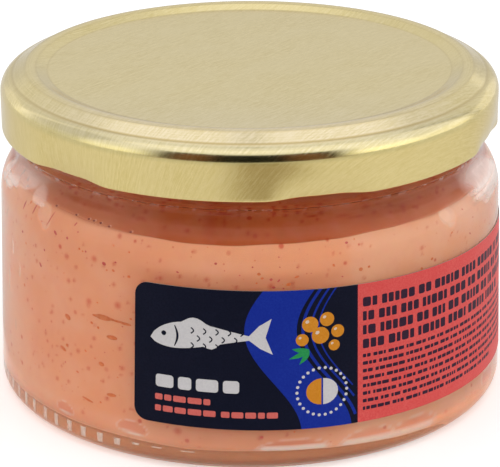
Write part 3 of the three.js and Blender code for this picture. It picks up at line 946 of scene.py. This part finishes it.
def make_drops():
    """Oil drops, roe grains and a row of small bubbles in painted shade, each a paler rim set a little up
    and to the right round a dark pit.
    """
    rim_shades = [(a + 0.3, z + 0.08, 0.62, 0.36, 15, 0.03) for a, z in BUBBLES]
    pit_shades = [(a, z, 0.5, 0.28, 5, 0.12) for a, z in BUBBLES]
    oil = [row + (0.04,) for row in OIL_DROPS] + scattered(260, 0.16, 0.7, 0.5)
    roe = [row + (0.04,) for row in RED_GRAINS] + scattered(200, 0.16, 0.55, 0.5)
    for name, rows, shade, dark in (
            ("oil_drop", oil, (0.92, 0.255, 0.095), (0.86, 0.205, 0.065)),
            ("roe_grain", roe, (0.80, 0.16, 0.12), (0.68, 0.10, 0.085)),
            ("bubble_rim_shade", rim_shades, (0.80, 0.36, 0.22), (0.74, 0.30, 0.17)),
            ("bubble_pit_shade", pit_shades, (0.38, 0.085, 0.055), (0.30, 0.065, 0.045))):
        make_lenses(name + "s", rows, drop_material(name, shade, dark))


# Lid

def lug_share(azimuths):
    """0 between lugs, 1 on the flat of a lug."""
    off = np.min([np.abs(wrapped(azimuths - lug)) for lug in LUG_AZIMUTHS], 0)
    return 1 - smooth(off, LUG_WIDTH / 2 - LUG_EDGE, LUG_WIDTH / 2)


def lid_profile():
    """The lid's section, and the places in it of its folds."""
    under = PANEL_Z - LID_SHEET
    round_centre = (LID_RADIUS - LID_SHOULDER_ROUND, LEDGE_Z - LID_SHOULDER_ROUND)
    curl_centre = (LID_RADIUS - CURL_ROUND, SKIRT_FOOT_Z + CURL_ROUND)
    inside = dense([(LID_RADIUS - LID_SHEET, round_centre[1]), (LID_RADIUS - LID_SHEET, SKIRT_NARROWS_Z),
                    (LID_RADIUS - 2 * CURL_ROUND, SKIRT_FOOT_Z + 2 * CURL_ROUND)], 0.8)
    below = ([((round_centre[0] - LID_SHEET) * i / 6, under) for i in range(7)]
             + arc(round_centre, LID_SHOULDER_ROUND - LID_SHEET, 90, 0, 8) + inside[1:-1]
             + arc(curl_centre, CURL_ROUND, 180, 360, 12))
    skirt = dense([below[-1], (LID_RADIUS, round_centre[1])], 0.5)
    crease = math.degrees(math.acos((LEDGE_RADIUS - round_centre[0]) / LID_SHOULDER_ROUND))
    over = arc(round_centre, LID_SHOULDER_ROUND, 0, crease, 16)
    folds = [over[-1], (CREST_OUTER_RADIUS, CREST_Z - CREST_DROP),
             (CREST_OUTER_RADIUS - CREST_EDGE, CREST_Z),
             (CREST_INNER_RADIUS + CREST_EDGE, CREST_Z),
             (CREST_INNER_RADIUS, CREST_Z - CREST_DROP), (PANEL_RADIUS, PANEL_Z)]
    crest = dense(fillet([over[-2]] + folds + [(PANEL_RADIUS - 1, PANEL_Z)], 0.2), 0.2)
    panel = [(PANEL_RADIUS * i / 10, PANEL_Z) for i in range(9, -1, -1)]
    return below + skirt[1:] + over[1:-1] + crest[1:] + panel, folds


def make_lid():
    profile, folds = lid_profile()
    profile = np.array(profile)
    azimuths = np.arange(0, 360, 1.0)
    share = lug_share(azimuths)[:, None]
    low = np.clip((LUG_TOP_Z - profile[:, 1]) / (LUG_TOP_Z - SKIRT_FOOT_Z), 0, 1) ** 2
    low = low * (profile[:, 0] > PANEL_RADIUS)
    radii = profile[:, 0] - LUG_DEPTH * share * low
    heights = profile[:, 1] + LUG_LIFT * share * low
    # The flat sheet's own places: distance over the top from the middle, in every direction
    walked = np.concatenate([[0], np.cumsum(np.hypot(*np.diff(profile, axis=0).T))])
    over = (walked[-1] - walked)[None, 1:-1]
    sheet_x, sheet_y = np.moveaxis(place(azimuths[:, None], over, 0.0)[..., :2], -1, 0)
    uv = np.stack(rotated(sheet_x, sheet_y, -GRAIN_TURN), -1).reshape(-1, 2)
    uv = np.vstack([uv, [[walked[-1], 0], [0, 0]]])
    # Folds: painted shade in the creases and round the crest
    marked = np.zeros(len(profile))
    for number, depth, width in ((0, 1.0, 0.42), (1, 0.55, 0.26), (4, 0.6, 0.26), (5, 0.7, 0.26)):
        near = np.hypot(*(profile - folds[number]).T)
        marked = np.maximum(marked, depth * smooth(near, width, 0.05))
    marked[profile[:, 1] <= PANEL_Z - LID_SHEET / 2 - 0.4] = 0.0
    made = piece("gold_lid", *turned(azimuths, radii, heights), [lid_material()], "lid", uv=uv,
                 marks={"fold": on_skin(np.tile(marked, (len(azimuths), 1)))})
    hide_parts("twist_lid")


# Label print. Places on it are millimetres: s round the jar from the front, v up from its foot.

def moved(points, s, v, scale=1.0, turn=0.0):
    spots = [rotated(x * scale, y * scale, turn) for x, y in points]
    return [(s + x, v + y) for x, y in spots]


def oval(s, v, half_s, half_v, turn=0.0, sides=32):
    angles = [2 * math.pi * i / sides for i in range(sides)]
    return moved([(half_s * math.cos(a), half_v * math.sin(a)) for a in angles], s, v, turn=turn)


def bar(left, low, right, high, corner=0.0, steps=4):
    """A rectangle, with rounded corners if wanted."""
    if corner <= 0:
        return [(left, low), (right, low), (right, high), (left, high)]
    points = []
    for s, v, start in ((right - corner, low + corner, -90), (right - corner, high - corner, 0),
                        (left + corner, high - corner, 90), (left + corner, low + corner, 180)):
        points += arc((s, v), corner, start, start + 90, steps)
    return points


def area(points):
    """Twice the area inside, negative if the points run clockwise."""
    ahead = [*points[1:], points[0]]
    return sum(a[0] * b[1] - b[0] * a[1] for a, b in zip(points, ahead))


def stroke(points, widths):
    """A line drawn with a pen whose width changes along it."""
    left, right = [], []
    for i, (s, v) in enumerate(points):
        a, b = points[max(i - 1, 0)], points[min(i + 1, len(points) - 1)]
        ds, dv = b[0] - a[0], b[1] - a[1]
        size = math.hypot(ds, dv)
        ns, nv = -dv / size * widths[i] / 2, ds / size * widths[i] / 2
        left.append((s + ns, v + nv))
        right.append((s - ns, v - nv))
    return right + left[::-1]


def fish_outline():
    """A plain swimming fish, 20 long, nose to the left, tail fork to the right."""
    upper, lower = [], []
    for i in range(25):
        t = i / 24
        body = 3.0 * math.sin(math.pi * t ** 0.75) ** 0.9 * (1 - 0.55 * t) + 0.42 * t
        fin = 0.9 * max(0.0, math.sin(math.pi * (t - 0.34) / 0.26)) if 0.34 < t < 0.6 else 0.0
        belly = 0.7 * max(0.0, math.sin(math.pi * (t - 0.55) / 0.16)) if 0.55 < t < 0.71 else 0.0
        bend = 0.5 * math.sin(math.pi * t)
        upper.append((-10 + 16.5 * t, body + fin + bend))
        lower.append((-10 + 16.5 * t, -body * 0.82 - belly + bend))
    tail = [(8.2, -1.9), (10.2, -3.1), (9.2, 0.0), (10.4, 3.2), (8.3, 2.1)]
    return lower + tail + upper[:0:-1]


def leaf(length, width):
    points = [(length * i / 10, width * math.sin(math.pi * (i / 10) ** 0.8)) for i in range(11)]
    return points + [(s, -v * 0.35) for s, v in points[-2:0:-1]]


def wave(v):
    """Left edge of the blue field at a height: one long S."""
    return 3.6 + 4.6 * math.sin((v - 3.0) / LABEL_HEIGHT * math.pi * 1.35 + 2.2)


def words(left, right, low, height, shortest, longest, gap, rest):
    """A row of plain dashes of changing length, in groups."""
    shapes, s = [], left
    while s < right - shortest:
        for _ in range(chance.randint(2, 5)):
            end = min(s + chance.uniform(shortest, longest), right)
            if end - s < shortest * 0.6:
                break
            shapes.append(bar(s, low, end, low + height, min(height, end - s) * 0.22))
            s = end + gap
        s += rest
    return shapes


def bow(count, low, high, width):
    """Points up a line that bows out to one side."""
    return [(width * math.sin(math.pi * i / count), low + (high - low) * i / count)
            for i in range(count + 1)]


def fish_print():
    """The fish with its eye, gill and scales, then roe beads and leaves beside it."""
    layers = [("white", moved(fish_outline(), -6.6, 15.6, 0.98, 4)),
              ("navy", oval(-14.1, 15.9, 0.42, 0.42, sides=16))]
    pen = [0.15 + 0.25 * math.sin(math.pi * i / 8) for i in range(9)]
    layers.append(("navy", stroke(moved(bow(8, 0.0, 3.6, 0.5), -12.3, 13.9), pen)))
    for row, low in enumerate((14.3, 15.6, 16.9)):
        for i in range(5 - row % 2):
            scale = moved(bow(6, 0.0, 1.0, 0.45), -9.6 + 2.0 * i + 1.0 * (row % 2), low - 0.5)
            layers.append(("navy", stroke(scale, [0.22] * 7)))
    for s, v, size in ((9.6, 18.2, 1.35), (12.4, 18.9, 1.2), (11.3, 16.2, 1.45), (14.2, 16.7, 1.1),
                       (8.3, 15.6, 1.05), (13.6, 14.3, 0.95)):
        layers.append(("orange", oval(s, v, size, size)))
        layers.append(("pale", oval(s - size * 0.35, v + size * 0.35, size * 0.25, size * 0.2, 30, 12)))
    for turn, size in ((205, 3.6), (238, 3.0), (176, 2.8)):
        layers.append(("green", moved(leaf(size, 0.62), 9.4, 13.9, 1.0, turn)))
    return layers


def badge_print():
    """A round badge of two half shells in a ring of dots."""
    layers = []
    for i in range(26):
        a = 2 * math.pi * i / 26
        dot = oval(11.6 + 4.15 * math.cos(a), 6.4 + 4.15 * math.sin(a), 0.27, 0.27, sides=10)
        layers.append(("white", dot))
    half = [(0.0, 2.3 * k / 8) for k in range(-7, 8)]
    shell = [(2.5 * math.sin(math.pi * k / 12), -2.3 * math.cos(math.pi * k / 12)) for k in range(13)]
    layers.append(("white", moved(shell + half[::-1], 11.75, 6.4)))
    layers.append(("orange", moved([(-x, y) for x, y in shell][::-1] + half, 11.45, 6.4)))
    return layers


def text_print():
    """Rows of plain blocks where text would be: a large print, a small one, and the far panel."""
    # Rows, height of the first, pitch, how far the last falls short, raggedness, sizes of the blocks
    large = (4, 20.2, 2.42, 9.0, 2.5, (1.62, 0.62, 1.5, 0.28, 0.6))
    small = (8, 11.35, 1.33, 14.0, 2.0, (0.62, 0.4, 1.3, 0.16, 0.34))
    shapes = []
    for rows, top, pitch, last, ragged, sizes in (large, small):
        for row in range(rows):
            right = PANEL_END - (last if row == rows - 1 else chance.uniform(0, ragged))
            shapes += words(18.6, right, top - pitch * row, *sizes)
    far = []
    for row in range(3):
        far += words(108.5, 126.0, 6.0 + 4.6 * row, 1.0, 1.2, 3.0, 0.4, 0.7)
    return ([("text", shape) for shape in shapes] + [("pale", bar(78.0, 4.2, 104.0, 20.0, 1.2))]
            + [("text", shape) for shape in far])


def label_print():
    """(ink, outline) from the lowest layer to the topmost."""
    layers = [("coral", bar(SPLIT, -1, 140.0, LABEL_HEIGHT + 1))]
    levels = [i * (LABEL_HEIGHT + 2) / 40 - 1 for i in range(41)]
    layers.append(("blue", [(wave(v), v) for v in levels]
                   + [(min(wave(v) + 8.4, SPLIT), v) for v in reversed(levels)]))
    for shift, wide in ((9.4, 0.5), (10.8, 0.35), (12.0, 0.25)):
        line = [(wave(v) + shift, v) for v in levels if wave(v) + shift < SPLIT - 0.4]
        if len(line) > 4:
            layers.append(("blue", stroke(line, [wide] * len(line))))
    layers += fish_print()
    left = -15.4
    for length in (3.0, 2.2, 3.6, 2.6):
        layers.append(("white", bar(left, 6.4, left + length, 8.6, 0.5)))
        left += length + 0.75
    for low, right in ((4.1, -5.6), (2.1, 5.4)):
        layers += [("pink", shape) for shape in words(-15.5, right, low, 1.05, 1.0, 2.4, 0.3, 0.55)]
    return layers + badge_print() + text_print()


INKS = {
    "navy": ((8, 12, 31), (17, 20, 40)),
    "blue": ((16, 40, 143), (25, 51, 154)),
    "coral": ((216, 76, 74), (223, 98, 93)),
    "white": ((201, 199, 201), (212, 210, 210)),
    "orange": ((205, 130, 33), (214, 143, 47)),
    "green": ((36, 141, 76), (51, 156, 89)),
    "pink": ((207, 98, 91), (216, 112, 103)),
    "text": ((44, 27, 47), (60, 38, 56)),
    "pale": ((218, 194, 172), (223, 203, 185)),
    "paper": ((214, 205, 198), (223, 218, 212)),
}


def make_label():
    start, end = (math.radians(a) * TOP_RADIUS for a in (LABEL_START, LABEL_END))
    outline = bar(start, 0, end, LABEL_HEIGHT, LABEL_CORNER, 8)
    layers = label_print()
    vertices, faces = [], []
    for shape in [outline] + [shape for _, shape in layers]:
        faces.append(list(range(len(vertices), len(vertices) + len(shape))))
        vertices += [Vector(p) for p in (shape if area(shape) > 0 else shape[::-1])]
    # Upright cuts, so that the print bends round the jar
    left, right = start + LABEL_CORNER, end
    steps = int((right - left) / 1.1)
    edges = []
    for i in range(1, steps):
        s = left + (right - left) * i / steps
        edges.append((len(vertices), len(vertices) + 1))
        vertices += [Vector((s, -0.5)), Vector((s, LABEL_HEIGHT + 0.5))]
    found, _, triangles, _, _, owners = delaunay_2d_cdt(vertices, edges, faces, 0, 1e-6)
    names, order = ["navy"] + [ink for ink, _ in layers], list(INKS)
    shown = [(triangle, max(owner)) for triangle, owner in zip(triangles, owners) if 0 in owner]
    inks = [order.index(names[owner]) for _, owner in shown]
    used, kept = compact([triangle for triangle, _ in shown])
    flat = np.array([found[i] for i in used])
    if area([flat[i] for i in kept[0]]) < 0:
        kept = [t[::-1] for t in kept]
    s, v = flat.T
    lean = LABEL_LEAN * (v / LABEL_HEIGHT - 0.5) * smooth(s, SPLIT, left)
    azimuths = np.degrees((s + lean) / TOP_RADIUS)
    z = LABEL_FOOT_Z + v + LABEL_SLOPE * s
    front = place(azimuths, wall_radius(z) + LABEL_GAP + LABEL_THICKNESS, z)
    back = place(azimuths, wall_radius(z) + LABEL_GAP, z)
    count = len(front)
    sides = {(a, b) for t in kept for a, b in zip(t, t[1:] + t[:1])}
    rim = sorted((a, b) for a, b in sides if (b, a) not in sides)
    all_faces = kept + [tuple(i + count for i in t[::-1]) for t in kept]
    all_faces += [(b, a, a + count, b + count) for a, b in rim]
    all_inks = inks + [order.index("paper")] * (len(kept) + len(rim))
    materials = [ink_material("label_" + ink, colour(*dark), colour(*light))
                 for ink, (dark, light) in INKS.items()]
    made = piece("printed_label", np.vstack([front, back]), all_faces, materials, "label", all_inks)
    made.data.polygons.foreach_set("use_smooth", [i < 2 * len(kept) for i in range(len(all_faces))])
    outwards = place(azimuths, 1.0, 0.0 * azimuths)
    made.data.normals_split_custom_set_from_vertices(np.vstack([outwards, -outwards]).tolist())
    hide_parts("wrap_label")


# Studio

def dark_card_colour(m):
    """Near black, brown at its sides: the dark card's colours, also painted on the floor in front as shade.
    """
    aside = m.calc("ABSOLUTE", m.axis(m.where(), 0))
    return m.mix(m.window(aside, 0.16, 0.34, 0.45, 0.62), (0.018, 0.02, 0.017), (0.30, 0.14, 0.07))


def make_sheet(name, corners, material):
    """A flat sheet of the studio, in metres."""
    mesh = bpy.data.meshes.new(name)
    mesh.from_pydata(corners, [], [(0, 1, 2, 3)])
    mesh.materials.append(material)
    sheet = add_object(name, mesh)
    return sheet


def make_floor():
    m = Shader("floor_white")
    where = m.where()
    seen = m.add("LightPath", output="Is Camera Ray")
    # Painted shade on the floor in front of the jar, in the dark card's colours, and a soft grey painted
    # shadow on it, which only reflections show
    y, aside = m.axis(where, 1), m.calc("ABSOLUTE", m.axis(where, 0))
    ahead = m.times(m.window(y, -0.82, -0.80, -0.41, -0.39), m.span(aside, 0.58, 0.54))
    lit = m.mix(ahead, (0.79, 0.79, 0.79), dark_card_colour(m))
    at = m.add("VectorMath", {"operation": "SUBTRACT"}, {0: where, 1: (0.022, -0.20, 0.0)})
    spot = m.span(m.length(m.scaled(at, (1.0, 0.6, 1.0))), 0.075, 0.015)
    lit = m.mix(spot, lit, (0.40, 0.35, 0.26))
    pale = m.mix(seen, lit, (0.96, 0.96, 0.96))
    grey = m.times(m.span(m.noise(where, 6.0, 2.0), 0.3, 0.7), 0.03)
    glow = m.span(m.length(where), TABLE_RADIUS + 0.004, TABLE_RADIUS, 0.0, TABLE_GLOW)
    m.surface(Base_Color=m.mix(grey, pale, (0.7, 0.7, 0.7)), Roughness=0.6, Specular_IOR_Level=0.2,
              Emission_Color=WHITE, Emission_Strength=m.calc("MAXIMUM", glow, m.times(seen, 0.28)))
    size = 3.0
    corners = [(-size, -size, 0), (size, -size, 0), (size, size, 0), (-size, size, 0)]
    make_sheet("studio_floor", corners, m.made)


def make_card():
    """A dark card in front, behind the camera, which draws the dark arc on the lid."""
    m = Shader("card_black")
    m.surface(Base_Color=dark_card_colour(m), Roughness=0.9, Specular_IOR_Level=0.1)
    wide, high, away = 0.62, 0.70, -0.80
    corners = [(-wide, away, 0), (wide, away, 0), (wide, away, high), (-wide, away, high)]
    make_sheet("dark_card", corners, m.made).visible_camera = False


def make_softbox(name, azimuth, elevation, distance, width, height, radiance):
    data = bpy.data.lights.new(name, "AREA")
    data.shape = "RECTANGLE"
    data.size, data.size_y = width, height
    data.energy = radiance * math.pi * width * height
    lamp = add_object(name, data)
    a, e = math.radians(azimuth), math.radians(elevation)
    towards = Vector((math.sin(a) * math.cos(e), -math.cos(a) * math.cos(e), math.sin(e)))
    lamp.location = towards * distance + Vector((0, 0, 0.03))
    lamp.rotation_mode = "QUATERNION"
    lamp.rotation_quaternion = towards.to_track_quat("Z", "Y")
    lamp.visible_camera = False
    return lamp


# The floor is a light table with a round lit spot under the jar
TABLE_GLOW = 0.29
TABLE_RADIUS = 0.050

# Zones of the studio's air: azimuth, half width, and bands of lowest elevation, highest, radiance
AIR = {
    "back": (180, 55, ((-6, 14, 0.70), (14, 52, 0.78))),
    "left": (-60, 15, ((-6, 22, 1.66), (22, 52, 1.37))),
    "left_side": (-101, 27, ((-6, 22, 0.80), (22, 52, 0.76))),
    "right": (60, 15, ((-6, 22, 2.05), (22, 52, 1.60))),
    "right_side": (98, 23, ((-6, 22, 1.32), (22, 52, 1.12))),
    "front": (0, 45, ((42, 52, 1.15),)),
    "high_back": (180, 90, ((52, 76, 1.04),)),
    "high_front": (0, 90, ((52, 76, 1.32),)),
    "zenith": (0, 180, ((76, 90, 1.04),)),
}
# Softboxes: azimuth, elevation, distance, width, height, radiance
BOXES = {
    "left": (-132, 12, 0.9, 0.55, 0.34, 0.19),
    "right": (138, 9, 0.9, 0.50, 0.36, 0.30),
    "fill": (-4, 16, 0.62, 1.20, 0.40, 0.64),
}


def make_air():
    """Soft light from all round, bright above and at the sides, dark in front."""
    m = Shader("studio_air", "World")
    towards = m.add("TexCoord")
    x, y, z = (m.axis(towards, i) for i in range(3))
    across = m.calc("POWER", m.calc("ADD", m.times(x, x), m.times(y, y)), 0.5)
    across = m.calc("MAXIMUM", across, 0.001)
    total = 0.0
    for azimuth, half_width, bands in AIR.values():
        a = math.radians(azimuth)
        along = m.calc("ADD", m.times(x, math.sin(a)), m.times(y, -math.cos(a)))
        edge = math.cos(math.radians(half_width))
        near = m.span(m.calc("DIVIDE", along, across), edge - 0.06, edge + 0.06)
        for low, high, radiance in bands:
            under, over = math.sin(math.radians(low)), math.sin(math.radians(high))
            share = m.times(near, m.span(z, under - 0.05, under + 0.05))
            if high < 90:
                share = m.times(share, m.span(z, over + 0.05, over - 0.05))
            total = m.calc("ADD", total, m.times(share, radiance))
    pale = m.add("Background", inputs={"Color": (0.95, 0.95, 0.95), "Strength": 1.0})
    light = m.add("Background", inputs={"Color": WHITE, "Strength": total})
    m.blend(m.add("LightPath", output="Is Camera Ray"), light, pale)
    bpy.context.scene.world = m.made


def make_studio():
    make_floor()
    make_card()
    make_air()
    for name, box in BOXES.items():
        lamp = make_softbox("softbox_" + name, *box)
        # The fill lights the front without a reflection
        lamp.visible_glossy = name != "fill"


def make_camera():
    """A long lens, looking down at the jar from the front."""
    ahead = Vector((0, math.cos(CAMERA_PITCH), -math.sin(CAMERA_PITCH)))
    up = Vector((0, math.sin(CAMERA_PITCH), math.cos(CAMERA_PITCH)))
    right, up = rotated(Vector((1, 0, 0)), up, -math.degrees(CAMERA_ROLL))
    data = bpy.data.cameras.new("camera")
    data.lens, data.sensor_width = FOCAL_LENGTH, SENSOR_WIDTH
    data.clip_start, data.clip_end = 0.01, 20
    camera = add_object("camera", data)
    turn = Matrix((right, up, -ahead)).transposed().to_4x4()
    camera.matrix_world = Matrix.Translation((0, -CAMERA_BACK * MM, CAMERA_HEIGHT * MM)) @ turn
    bpy.context.scene.camera = camera
    bpy.context.scene.view_settings.view_transform = "Standard"


make_camera()
make_studio()
make_glass()
make_knurl_lights()
make_heel_refraction()
make_glass_reflections()
make_spread()
make_drops()
make_lid()
make_label()
